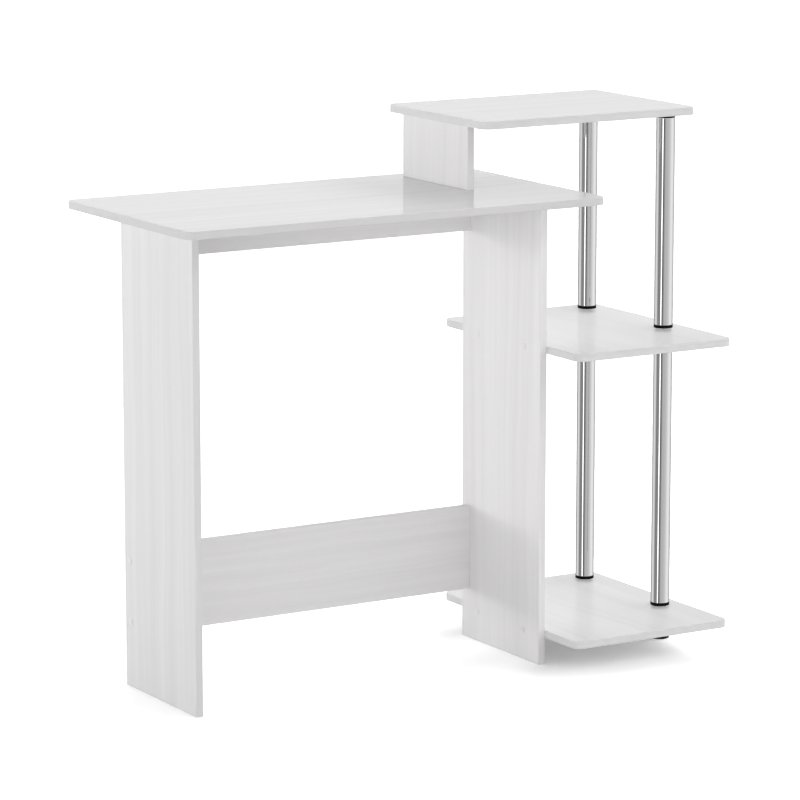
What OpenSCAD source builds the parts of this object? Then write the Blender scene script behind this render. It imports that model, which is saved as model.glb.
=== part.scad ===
// Small writing desk with a raised side shelf and a two-shelf tower on screw-together tubes.
// Millimetres. X runs to the sitter's right, Y to the back, Z up; the origin is on the floor
// under the middle of the desk.

/* [Desktop] */
// Width of the desktop
desktop_w = 717; // [640:1:900]
// Depth of the desktop
desktop_d = 392; // [370:1:460]
// Height of the desktop's top face above the floor
desktop_h = 741; // [680:1:780]
// How far the desktop reaches past the left leg
left_overhang = 53; // [20:1:100]
// How far the desktop reaches past the middle leg
right_overhang = 49; // [20:1:80]

/* [Boards] */
// Thickness of every board
board_t = 12; // [11:0.5:16]
// Corner radius of the desktop and the shelves, seen from above
corner_r = 15; // [6:1:30]
// Width of the eased edge round every board
edge_ease = 0.6; // [0.3:0.1:1.2]

/* [Legs and rails] */
// Depth of the two leg panels, front to back
leg_d = 225; // [190:1:260]
// Setback of the legs from the desktop's front edge
leg_setback = 89; // [60:1:110]
// Setback of the rails from the legs' back edges
rail_setback = 12; // [4:1:24]
// Height of the low stretcher
stretcher_h = 135; // [90:1:180]
// Height of the stretcher's lower edge above the floor
stretcher_lift = 82; // [70:1:140]
// Height of the apron under the desktop
apron_h = 71; // [60:1:110]

/* [Shelves] */
// Long side of the three shelves
shelf_long = 392; // [360:1:430]
// Short side of the three shelves
shelf_short = 287; // [250:1:320]
// Height of the middle shelf's top face above the floor
middle_shelf_h = 503; // [430:1:560]
// Depth of the panel that stands on the desktop
panel_d = 191; // [160:1:210]
// Height of the panel that stands on the desktop
panel_h = 100; // [80:1:200]
// Gap between that panel and the desktop's back edge
panel_back_gap = 31; // [10:1:60]
// Gap between that panel and the top shelf's left edge
panel_side_gap = 11; // [4:1:40]

/* [Tubes] */
// Outer diameter of the tubes
tube_d = 29.5; // [25:0.5:34]
// Wall of the tubes
tube_wall = 0.8; // [0.6:0.1:1.5]
// Distance from the tubes' axes to the nearest edges of the top shelf
tube_inset = 35; // [30:1:50]
// Height of the collar at each end of a tube
collar_h = 5; // [2:0.5:10]
// How far collars and feet stand out past the tube
collar_lip = 0.3; // [0.1:0.1:1.5]
// Rounding of the collars' rims
collar_round = 0.8; // [0.3:0.1:0.9]
// Outer diameter of the bush in the top shelf
bush_d = 20; // [18:0.5:23]
// Height of the feet under the bottom shelf
foot_h = 42; // [30:1:50]
// How far the waist of the feet lies inside their rims
foot_waist_cut = 1; // [0.4:0.1:2]
// Wall of the hollow feet
foot_wall = 2.4; // [1.6:0.1:4]
// Diameter of the threaded studs
stud_d = 12; // [10:0.5:14]
// Depth of stud in a collar
stud_grip = 15; // [10:1:20]
// Length of the plugs inside the tubes
plug_h = 22; // [21:1:40]

/* [Fasteners] */
// Length of the panel screws
screw_l = 40; // [30:1:50]
// Shank diameter of the panel screws
screw_d = 4; // [3:0.5:4.5]
// Head diameter of the panel screws
screw_head_d = 8; // [7:0.5:9]
// Diameter of the caps over the screw heads
cap_d = 11; // [10:0.5:13]
// Height of those caps
cap_h = 1.2; // [0.8:0.1:2]
// Distance of the stretcher's screws from its upper and lower edges
stretcher_screw_edge = 20; // [12:1:30]
// Distance of the outer fasteners from the edge of a leg
leg_fixing_edge = 45; // [30:1:60]
// Distance between a dowel and the cam next to it
dowel_step = 35; // [25:1:40]
// Distance of the outer fasteners from the edge of the raised panel
panel_fixing_edge = 35; // [25:1:40]
// Diameter of the cams
cam_d = 12; // [11:0.5:13]
// Distance from a cam's axis to the joint that it draws tight
cam_reach = 24; // [20:1:30]
// Diameter of the cam bolts' threads
bolt_d = 5; // [4:0.5:6]
// Diameter of the cam bolts' necks
bolt_neck_d = 3; // [2.5:0.1:3.5]
// Diameter of the dowels
dowel_d = 6; // [5:0.5:7]
// Depth of a dowel in the board that it stands in
dowel_grip = 14; // [10:1:18]

/* [Clearances] */
// Gap all round a screw, bolt or dowel in its hole
fixing_fit = 0.1; // [0.05:0.05:0.2]
// Gap all round a plug in its tube and a bush in its shelf
plug_fit = 0.1; // [0.05:0.05:0.2]
// Gap all round a stud in its socket
stud_fit = 0.2; // [0.1:0.05:0.3]
// Gap all round a stud in a shelf
shelf_hole_fit = 0.5; // [0.3:0.1:1]
// Board left behind a blind hole
blind_rest = 3; // [2:0.5:4]

/* [Hidden] */
$fn = 64;

// Places along X
overall_w = desktop_w - right_overhang + shelf_short;
x_left = -overall_w / 2;
x_right = overall_w / 2;
x_left_leg = x_left + left_overhang;
x_tower = x_right - shelf_short;
x_middle_leg = x_tower - board_t;
x_rail = x_left_leg + board_t;
rail_l = x_middle_leg - x_rail;
x_top_shelf = x_right - shelf_long;
x_panel = x_top_shelf + panel_side_gap;
x_panel_mid = x_panel + board_t / 2;
x_tube = x_right - tube_inset;

// Places along Y
y_front = -desktop_d / 2;
y_back = desktop_d / 2;
y_leg = y_front + leg_setback;
y_leg_back = y_leg + leg_d;
y_rail = y_leg_back - rail_setback - board_t;
y_rail_mid = y_rail + board_t / 2;
y_tower = y_back - shelf_long;
y_top_shelf = y_back - shelf_short;
y_panel = y_back - panel_back_gap - panel_d;
y_front_tube = y_top_shelf + tube_inset;
y_back_tube = y_back - tube_inset;

// Places along Z
z_bottom_shelf = foot_h;
z_bottom_top = z_bottom_shelf + board_t;
z_middle_shelf = middle_shelf_h - board_t;
z_desktop = desktop_h - board_t;
z_top_shelf = desktop_h + panel_h;
z_apron = z_desktop - apron_h;
z_apron_mid = z_apron + apron_h / 2;

// Fastener sizes that follow the boards
shallow = board_t - blind_rest;
screw_head_h = (screw_head_d - screw_d) / 2;
screw_rim_h = 0.5;
screw_tip_h = 4;
screw_tip_r = screw_d / 8;
hex_d = 3.6;
hex_depth = 2;
cap_peg_room = 0.3;
cap_peg_h = hex_depth - cap_peg_room;
cap_peg_r = hex_d * cos(30) / 2 - fixing_fit;
cap_rim_h = cap_h / 2;
cam_skin = 2.5;
cam_h = board_t - cam_skin;
cam_pocket_h = cam_h + fixing_fit;
cam_room = 0.5;
bolt_head_d = bolt_d - fixing_fit;
bolt_head_h = 2.6;
bolt_head_ease = 0.6;
bolt_shank_room = 1;
bolt_shank_l = cam_reach - cam_d / 2 - bolt_shank_room;
bolt_tip_h = 1;
bolt_tip_cut = 0.5;
cross_w = 1.4;
cross_l = 7;
cross_depth = 1.6;
dowel_chamfer = 0.8;
dowel_l = shallow - fixing_fit + dowel_grip;
groove_pitch = 2;
groove_depth = 0.7;
plug_groove = 0.8;
socket_rest = 1;
rib_t = 1.6;
rib_lift = 1;
foot_roof_h = 6;
foot_rim_h = 4;
foot_ease = 0.5;

// How far a cut runs past the face that it opens
over = 1;

// Radii of the tube fittings
plug_r = tube_d / 2 - tube_wall - plug_fit;
socket_r = stud_d / 2 + stud_fit;
lip_r = tube_d / 2 + collar_lip;

// Rows of fasteners
leg_cam_ys = [y_leg + leg_fixing_edge, y_leg_back - leg_fixing_edge];
leg_dowel_ys = [leg_cam_ys[0] + dowel_step, leg_cam_ys[1] - dowel_step];
stretcher_screw_zs = [
    stretcher_lift + stretcher_screw_edge,
    stretcher_lift + stretcher_h - stretcher_screw_edge];
apron_cam_z = z_apron_mid + apron_h / 4;
apron_dowel_z = z_apron_mid - apron_h / 4;
shelf_screw_zs = [z_bottom_shelf + board_t / 2, z_middle_shelf + board_t / 2];
panel_fixing_ys = [y_panel + panel_fixing_edge, y_panel + panel_d - panel_fixing_edge];
panel_dowel_ys = [panel_fixing_ys[0] + dowel_step, panel_fixing_ys[1] - dowel_step];

// Directions that a fastener can point in, as turns of the Z axis
to_right = [0, 90, 0];
to_left = [0, -90, 0];
to_back = [-90, 0, 0];
up = [0, 0, 0];
down = [180, 0, 0];

module at(place, turn) {
    translate(place)
        rotate(turn)
            children();
}

// Outline of a board's section with its four edges eased
module eased_section(w, h) {
    e = edge_ease;
    polygon([[e, 0], [w - e, 0], [w, e], [w, h - e], [w - e, h], [e, h], [0, h - e], [0, e]]);
}

module along_x(l) {
    rotate([90, 0, 90])
        linear_extrude(l)
            children();
}

module along_y(l) {
    translate([0, l, 0])
        rotate([90, 0, 0])
            linear_extrude(l)
                children();
}

// Board with square corners and every edge eased
module square_board(size) {
    intersection() {
        along_x(size.x)
            eased_section(size.y, size.z);
        along_y(size.y)
            eased_section(size.x, size.z);
        linear_extrude(size.z)
            eased_section(size.x, size.y);
    }
}

// Flat board with rounded corners and eased upper and lower edges
module round_board(w, d) {
    r = corner_r;
    translate([r, 0, 0])
        along_x(w - 2 * r)
            eased_section(d, board_t);
    translate([0, r, 0])
        along_y(d - 2 * r)
            eased_section(w, board_t);
    for (x = [r, w - r], y = [r, d - r])
        translate([x, y, 0])
            rotate_extrude()
                intersection() {
                    translate([-r, 0])
                        eased_section(2 * r, board_t);
                    square([r, board_t]);
                }
}

// Panel screw, its head's face at Z 0 and its tip up the Z axis; grow makes its hole
module screw_body(grow = 0) {
    head_r = screw_head_d / 2 + grow;
    shank_r = screw_d / 2 + grow;
    rotate_extrude()
        polygon([
            [0, 0], [head_r, 0], [head_r, screw_rim_h],
            [shank_r, screw_rim_h + screw_head_h],
            [shank_r, screw_l - screw_tip_h + grow],
            [screw_tip_r, screw_l + grow], [0, screw_l + grow]]);
}

module screw() {
    difference() {
        screw_body();
        translate([0, 0, -over])
            cylinder(d = hex_d, h = hex_depth + over, $fn = 6);
    }
}

module screw_hole() {
    translate([0, 0, -fixing_fit])
        cylinder(r = screw_head_d / 2 + fixing_fit, h = 2 * fixing_fit);
    screw_body(fixing_fit);
}

// Domed cap on a screw head, its flat back at Z 0 and its peg up the Z axis
module screw_cap() {
    rim_r = cap_d / 2;
    rise = cap_h - cap_rim_h;
    dome_r = (rim_r * rim_r + rise * rise) / (2 * rise);
    rotate_extrude()
        union() {
            translate([0, -cap_rim_h])
                square([rim_r, cap_rim_h]);
            intersection() {
                translate([0, -cap_h + dome_r])
                    circle(r = dome_r, $fn = 180);
                translate([0, -cap_h])
                    square([rim_r, rise]);
            }
            square([cap_peg_r, cap_peg_h]);
        }
}

// Cam bolt, the joint at Z 0, its thread below and its head up the Z axis
module cam_bolt() {
    r = bolt_d / 2;
    neck_r = bolt_neck_d / 2;
    head_r = bolt_head_d / 2;
    low = fixing_fit - shallow;
    head_low = cam_reach - bolt_head_h / 2;
    head_high = cam_reach + bolt_head_h / 2;
    rotate_extrude()
        polygon([
            [0, low], [r - bolt_tip_cut, low], [r, low + bolt_tip_h],
            [r, bolt_shank_l], [neck_r, bolt_shank_l],
            [neck_r, head_low], [head_r, head_low],
            [head_r, head_high - bolt_head_ease], [head_r - bolt_head_ease, head_high],
            [0, head_high]]);
}

// Hole for a cam bolt: its thread below the joint, its run to the cam above
module bolt_hole() {
    translate([0, 0, -shallow])
        cylinder(r = bolt_d / 2 + fixing_fit, h = shallow + over);
    cylinder(r = bolt_d / 2 + fixing_fit, h = cam_reach);
}

// Cam, its slotted face at Z 0 and the rest below; the joint lies along X
module cam() {
    difference() {
        translate([0, 0, -cam_h])
            cylinder(d = cam_d, h = cam_h);
        translate([0, 0, -board_t / 2]) {
            cylinder(r = bolt_head_d / 2 + cam_room, h = bolt_head_d + cam_room, center = true);
            rotate(to_right)
                cylinder(r = bolt_neck_d / 2 + cam_room, h = cam_d);
            rotate(to_back)
                cylinder(r = bolt_head_d / 2 + cam_room, h = cam_d);
        }
        for (a = [0, 90])
            rotate(a)
                translate([-cross_l / 2, -cross_w / 2, -cross_depth])
                    cube([cross_l, cross_w, cross_depth + over]);
    }
}

module cam_pocket() {
    translate([0, 0, -cam_pocket_h])
        cylinder(r = cam_d / 2 + fixing_fit, h = cam_pocket_h + over);
}

// Dowel across a joint at Z 0, its shallow end below
module dowel() {
    r = dowel_d / 2;
    c = dowel_chamfer;
    translate([0, 0, dowel_grip - dowel_l])
        rotate_extrude()
            polygon([
                [0, 0], [r - c, 0], [r, c],
                [r, dowel_l - c], [r - c, dowel_l], [0, dowel_l]]);
}

module dowel_hole() {
    translate([0, 0, -shallow])
        cylinder(r = dowel_d / 2 + fixing_fit, h = shallow + dowel_grip + fixing_fit);
}

// Places of the repeated fasteners, each pointing the way that it is driven

module stretcher_screw_places() {
    for (z = stretcher_screw_zs) {
        at([x_left_leg, y_rail_mid, z], to_right)
            children();
        at([x_tower, y_rail_mid, z], to_left)
            children();
    }
}

module shelf_screw_places() {
    for (y = leg_cam_ys, z = shelf_screw_zs)
        at([x_middle_leg, y, z], to_right)
            children();
}

module upper_panel_screw_places() {
    for (y = panel_fixing_ys)
        at([x_panel_mid, y, z_desktop], up)
            children();
}

// Joints between the desktop and the legs, seen from the joint down into a leg
module leg_joint_places(ys) {
    for (x = [x_left_leg, x_middle_leg], y = ys)
        at([x + board_t / 2, y, z_desktop], down)
            children();
}

module leg_cam_places() {
    for (x = [x_rail, x_tower], y = leg_cam_ys)
        at([x, y, z_desktop - cam_reach], to_right)
            rotate(180)
                children();
}

// Joints between the apron and the legs, seen from the leg into the apron
module apron_joint_places(z) {
    at([x_rail, y_rail_mid, z], to_right)
        children();
    at([x_middle_leg, y_rail_mid, z], to_left)
        children();
}

module apron_cam_places() {
    at([x_rail + cam_reach, y_rail + board_t, apron_cam_z], to_back)
        rotate(180)
            children();
    at([x_middle_leg - cam_reach, y_rail + board_t, apron_cam_z], to_back)
        children();
}

// Joints between the top shelf and the raised panel, seen down into the panel
module top_shelf_joint_places(ys) {
    for (y = ys)
        at([x_panel_mid, y, z_top_shelf], down)
            children();
}

module top_shelf_cam_places() {
    for (y = panel_fixing_ys)
        at([x_panel + board_t, y, z_top_shelf - cam_reach], to_right)
            rotate(180)
                children();
}

// Dowel between the desktop and the raised panel, seen from the desktop up
module panel_foot_dowel_place() {
    at([x_panel_mid, y_panel + panel_d / 2, desktop_h], up)
        children();
}

// Boards

module desktop() {
    color("whitesmoke")
        difference() {
            translate([x_left, y_front, z_desktop])
                round_board(desktop_w, desktop_d);
            leg_joint_places(leg_cam_ys)
                bolt_hole();
            leg_joint_places(leg_dowel_ys)
                dowel_hole();
            upper_panel_screw_places()
                screw_hole();
            panel_foot_dowel_place()
                dowel_hole();
        }
}

module leg(x) {
    difference() {
        translate([x, y_leg, 0])
            square_board([board_t, leg_d, z_desktop]);
        leg_joint_places(leg_cam_ys)
            bolt_hole();
        leg_joint_places(leg_dowel_ys)
            dowel_hole();
        leg_cam_places()
            cam_pocket();
        stretcher_screw_places()
            screw_hole();
        apron_joint_places(apron_cam_z)
            bolt_hole();
        apron_joint_places(apron_dowel_z)
            dowel_hole();
        children();
    }
}

module left_leg_panel() {
    color("whitesmoke")
        leg(x_left_leg);
}

module middle_leg_panel() {
    color("whitesmoke")
        leg(x_middle_leg)
            shelf_screw_places()
                screw_hole();
}

module stretcher_panel() {
    color("gainsboro")
        difference() {
            translate([x_rail, y_rail, stretcher_lift])
                square_board([rail_l, board_t, stretcher_h]);
            stretcher_screw_places()
                screw_hole();
        }
}

module apron_rail() {
    color("gainsboro")
        difference() {
            translate([x_rail, y_rail, z_apron])
                square_board([rail_l, board_t, apron_h]);
            apron_joint_places(apron_cam_z)
                bolt_hole();
            apron_joint_places(apron_dowel_z)
                dowel_hole();
            apron_cam_places()
                cam_pocket();
        }
}

module upper_side_panel() {
    color("whitesmoke")
        difference() {
            translate([x_panel, y_panel, desktop_h])
                square_board([board_t, panel_d, panel_h]);
            upper_panel_screw_places()
                screw_hole();
            panel_foot_dowel_place()
                dowel_hole();
            top_shelf_joint_places(panel_fixing_ys)
                bolt_hole();
            top_shelf_joint_places(panel_dowel_ys)
                dowel_hole();
            top_shelf_cam_places()
                cam_pocket();
        }
}

module top_shelf() {
    color("whitesmoke")
        difference() {
            translate([x_top_shelf, y_top_shelf, z_top_shelf])
                round_board(shelf_long, shelf_short);
            top_shelf_joint_places(panel_fixing_ys)
                bolt_hole();
            top_shelf_joint_places(panel_dowel_ys)
                dowel_hole();
            for (y = [y_front_tube, y_back_tube])
                translate([x_tube, y, z_top_shelf - over])
                    cylinder(r = bush_d / 2 + plug_fit, h = shallow + over);
        }
}

// Shelf of the tower, its underside at height z
module tower_shelf(z) {
    difference() {
        translate([x_tower, y_tower, z])
            round_board(shelf_short, shelf_long);
        shelf_screw_places()
            screw_hole();
        for (y = [y_front_tube, y_back_tube])
            translate([x_tube, y, z - over])
                cylinder(r = stud_d / 2 + shelf_hole_fit, h = board_t + 2 * over);
    }
}

module middle_shelf() {
    color("whitesmoke")
        tower_shelf(z_middle_shelf);
}

module bottom_shelf() {
    color("whitesmoke")
        tower_shelf(z_bottom_shelf);
}

// Tubes and what screws them together

module tube(y, low, high) {
    color("silver")
        translate([x_tube, y, low])
            difference() {
                cylinder(d = tube_d, h = high - low);
                translate([0, 0, -over])
                    cylinder(d = tube_d - 2 * tube_wall, h = high - low + 2 * over);
            }
}

// Collar at the lower end of a tube: a flange that shows, a ribbed plug and a blind socket
module collar(y, z) {
    socket_h = stud_grip + socket_rest;
    color("dimgray")
        translate([x_tube, y, z])
            difference() {
                rotate_extrude()
                    union() {
                        flange_profile(0, collar_h);
                        grooved_profile(plug_r, collar_h, collar_h + plug_h);
                    }
                translate([0, 0, -over])
                    cylinder(r = socket_r, h = socket_h + over);
            }
}

// Half section of a flange from low to high with a rounded rim
module flange_profile(low, high) {
    e = collar_round;
    translate([0, low])
        square([lip_r - e, high - low]);
    translate([0, low + e])
        square([lip_r, high - low - 2 * e]);
    for (z = [low + e, high - e])
        translate([lip_r - e, z])
            circle(r = e);
}

// Half section of a plug with two grooves that let it grip the tube's wall
module grooved_profile(r, low, high) {
    third = (high - low) / 3;
    g = plug_groove;
    polygon([
        [0, low], [r, low], [r, low + third - g], [r - g, low + third],
        [r, low + third + g], [r, low + 2 * third - g], [r - g, low + 2 * third],
        [r, low + 2 * third + g], [r, high - g], [r - g, high], [0, high]]);
}

// Half section of a threaded stud from low to high, its thread cut as rings
module stud_profile(low, high) {
    r = stud_d / 2;
    d = groove_depth;
    p = groove_pitch;
    turns = floor((high - low - p) / p);
    rings = [for (i = [0 : turns - 1]) each [
        [r, low + i * p], [r, low + i * p + p / 3], [r - d, low + i * p + 2 * p / 3]]];
    polygon(concat([[0, low]], rings, [[r, low + turns * p], [r - d, high], [0, high]]));
}

// Plug at the upper end of a tube: a ribbed plug, a flange that shows under the shelf at
// height z, and a stud that stands rise above it
module top_plug(y, z, rise) {
    color("dimgray")
        translate([x_tube, y, z])
            rotate_extrude()
                union() {
                    grooved_profile(plug_r, -collar_h - plug_h, -collar_h);
                    flange_profile(-collar_h, 0);
                    stud_profile(0, rise);
                }
}

// Foot: a waisted hollow moulding with cross ribs, and a stud up through the bottom shelf
module foot(y) {
    rim_r = lip_r;
    waist_r = rim_r - foot_waist_cut;
    inner_r = waist_r - foot_wall;
    low_slope = foot_rim_h + foot_waist_cut;
    high_slope = foot_h - low_slope;
    color("dimgray")
        translate([x_tube, y, 0]) {
            difference() {
                rotate_extrude()
                    union() {
                        polygon([
                            [0, 0], [rim_r - foot_ease, 0], [rim_r, foot_ease],
                            [rim_r, foot_rim_h], [waist_r, low_slope], [waist_r, high_slope],
                            [rim_r, foot_h - foot_rim_h], [rim_r, foot_h], [0, foot_h]]);
                        stud_profile(foot_h, foot_h + board_t + stud_grip);
                    }
                difference() {
                    translate([0, 0, -over])
                        cylinder(r = inner_r, h = foot_h - foot_roof_h + over);
                    for (a = [0, 90])
                        rotate(a)
                            translate([-rim_r, -rib_t / 2, rib_lift])
                                cube([2 * rim_r, rib_t, foot_h]);
                }
            }
        }
}

// Bush in the top shelf: a grooved sleeve, flush with the shelf's underside, for a stud
module top_bush(y) {
    color("dimgray")
        translate([x_tube, y, z_top_shelf])
            difference() {
                rotate_extrude()
                    grooved_profile(bush_d / 2, 0, shallow - plug_fit);
                translate([0, 0, -over])
                    cylinder(r = socket_r, h = shallow + 2 * over);
            }
}

module lower_tube(y) {
    tube(y, z_bottom_top + collar_h, z_middle_shelf - collar_h);
}

module upper_tube(y) {
    tube(y, middle_shelf_h + collar_h, z_top_shelf - collar_h);
}

module lower_top_plug(y) {
    top_plug(y, z_middle_shelf, board_t + stud_grip);
}

module upper_top_plug(y) {
    top_plug(y, z_top_shelf, shallow - socket_rest);
}

// Fasteners

module stretcher_screws() {
    color("lightslategray")
        stretcher_screw_places()
            screw();
}

module stretcher_screw_caps() {
    color("white")
        stretcher_screw_places()
            screw_cap();
}

module shelf_screws() {
    color("lightslategray")
        shelf_screw_places()
            screw();
}

module shelf_screw_caps() {
    color("white")
        shelf_screw_places()
            screw_cap();
}

module upper_panel_screws() {
    color("lightslategray")
        upper_panel_screw_places()
            screw();
}

module desktop_cam_bolts() {
    color("lightslategray")
        leg_joint_places(leg_cam_ys)
            cam_bolt();
}

module desktop_cams() {
    color("darkgray")
        leg_cam_places()
            cam();
}

module desktop_dowels() {
    color("burlywood")
        leg_joint_places(leg_dowel_ys)
            dowel();
}

module apron_cam_bolts() {
    color("lightslategray")
        apron_joint_places(apron_cam_z)
            cam_bolt();
}

module apron_cams() {
    color("darkgray")
        apron_cam_places()
            cam();
}

module apron_dowels() {
    color("burlywood")
        apron_joint_places(apron_dowel_z)
            dowel();
}

module top_shelf_cam_bolts() {
    color("lightslategray")
        top_shelf_joint_places(panel_fixing_ys)
            cam_bolt();
}

module top_shelf_cams() {
    color("darkgray")
        top_shelf_cam_places()
            cam();
}

module upper_panel_dowels() {
    color("burlywood") {
        top_shelf_joint_places(panel_dowel_ys)
            dowel();
        panel_foot_dowel_place()
            dowel();
    }
}

desktop();
left_leg_panel();
middle_leg_panel();
stretcher_panel();
apron_rail();
upper_side_panel();
top_shelf();
middle_shelf();
bottom_shelf();
lower_tube(y_front_tube);  // lower_front_tube
lower_tube(y_back_tube);  // lower_back_tube
upper_tube(y_front_tube);  // upper_front_tube
upper_tube(y_back_tube);  // upper_back_tube
collar(y_front_tube, z_bottom_top);  // lower_front_collar
collar(y_back_tube, z_bottom_top);  // lower_back_collar
collar(y_front_tube, middle_shelf_h);  // upper_front_collar
collar(y_back_tube, middle_shelf_h);  // upper_back_collar
lower_top_plug(y_front_tube);  // lower_front_top_plug
lower_top_plug(y_back_tube);  // lower_back_top_plug
upper_top_plug(y_front_tube);  // upper_front_top_plug
upper_top_plug(y_back_tube);  // upper_back_top_plug
foot(y_front_tube);  // front_foot
foot(y_back_tube);  // back_foot
top_bush(y_front_tube);  // front_top_bush
top_bush(y_back_tube);  // back_top_bush
stretcher_screws();
stretcher_screw_caps();
shelf_screws();
shelf_screw_caps();
upper_panel_screws();
desktop_cam_bolts();
desktop_cams();
desktop_dowels();
apron_cam_bolts();
apron_cams();
apron_dowels();
top_shelf_cam_bolts();
top_shelf_cams();
upper_panel_dowels();
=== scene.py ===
"""Looks of a small writing desk with a raised shelf and a shelf tower on polished tubes.

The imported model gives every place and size, in metres, with +Z up and the floor at zero.
"""

from __future__ import annotations

import logging
import math
from dataclasses import dataclass
from enum import Enum

import bmesh
import bpy
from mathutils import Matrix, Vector

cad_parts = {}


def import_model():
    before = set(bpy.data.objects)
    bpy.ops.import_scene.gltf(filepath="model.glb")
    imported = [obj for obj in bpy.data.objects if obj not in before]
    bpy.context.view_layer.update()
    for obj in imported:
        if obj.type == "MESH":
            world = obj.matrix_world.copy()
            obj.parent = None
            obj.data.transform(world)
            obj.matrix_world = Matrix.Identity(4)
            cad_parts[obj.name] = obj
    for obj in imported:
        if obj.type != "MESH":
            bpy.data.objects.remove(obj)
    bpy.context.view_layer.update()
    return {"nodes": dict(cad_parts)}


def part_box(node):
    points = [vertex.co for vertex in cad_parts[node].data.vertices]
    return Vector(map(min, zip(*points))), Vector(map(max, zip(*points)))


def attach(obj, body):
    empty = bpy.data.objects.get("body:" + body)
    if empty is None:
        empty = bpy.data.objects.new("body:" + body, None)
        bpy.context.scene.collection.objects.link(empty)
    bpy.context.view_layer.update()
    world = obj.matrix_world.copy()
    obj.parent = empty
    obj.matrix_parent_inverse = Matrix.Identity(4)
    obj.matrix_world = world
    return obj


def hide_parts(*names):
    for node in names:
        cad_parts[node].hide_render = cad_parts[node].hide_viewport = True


LOG = logging.getLogger("desk")
BODY = "root"
ONE_POINT = 0.000002  # Points closer than this, in metres, are merged.

Colour = tuple[float, float, float, float]
Triple = tuple[float, float, float]
Pair = tuple[float, float]
Value = object  # What feeds a socket: its own number or vector, or the output of a node.


def grey(level: float) -> Colour:
    """Returns a neutral colour."""
    return (level, level, level, 1.0)


def dimmed(colour: Colour, share: float) -> Colour:
    """Returns a colour at that share of its brightness."""
    return tuple(part * share for part in colour[:3]) + (1.0,)


class Lay(Enum):
    """How a board lies: the axes along its grain, across it and through its thickness."""

    FLAT_ALONG_X = ("X", "Y", "Z")
    FLAT_ALONG_Y = ("Y", "X", "Z")
    RAIL_ALONG_X = ("X", "Z", "Y")
    UPRIGHT_ALONG_Z = ("Z", "Y", "X")


@dataclass(frozen=True)
class BoardLook:
    """How one board lies and is finished.

    Attributes:
        lay: How it lies.
        tone: Painted light: brightness of its whole sheet beside the others', set board by board to stand
            in for light that falls on it too weakly or too strongly.
        band_tone: Share of the faces' brightness that its edge bands have, partly a darker edge band and
            partly painted shade set board by board.
        roughness: Roughness of its faces.
        figure: Strength of its grain beside the others'.
    """

    lay: Lay
    tone: float = 1.0
    band_tone: float = 0.87
    roughness: float = 0.16
    figure: float = 1.0


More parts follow.
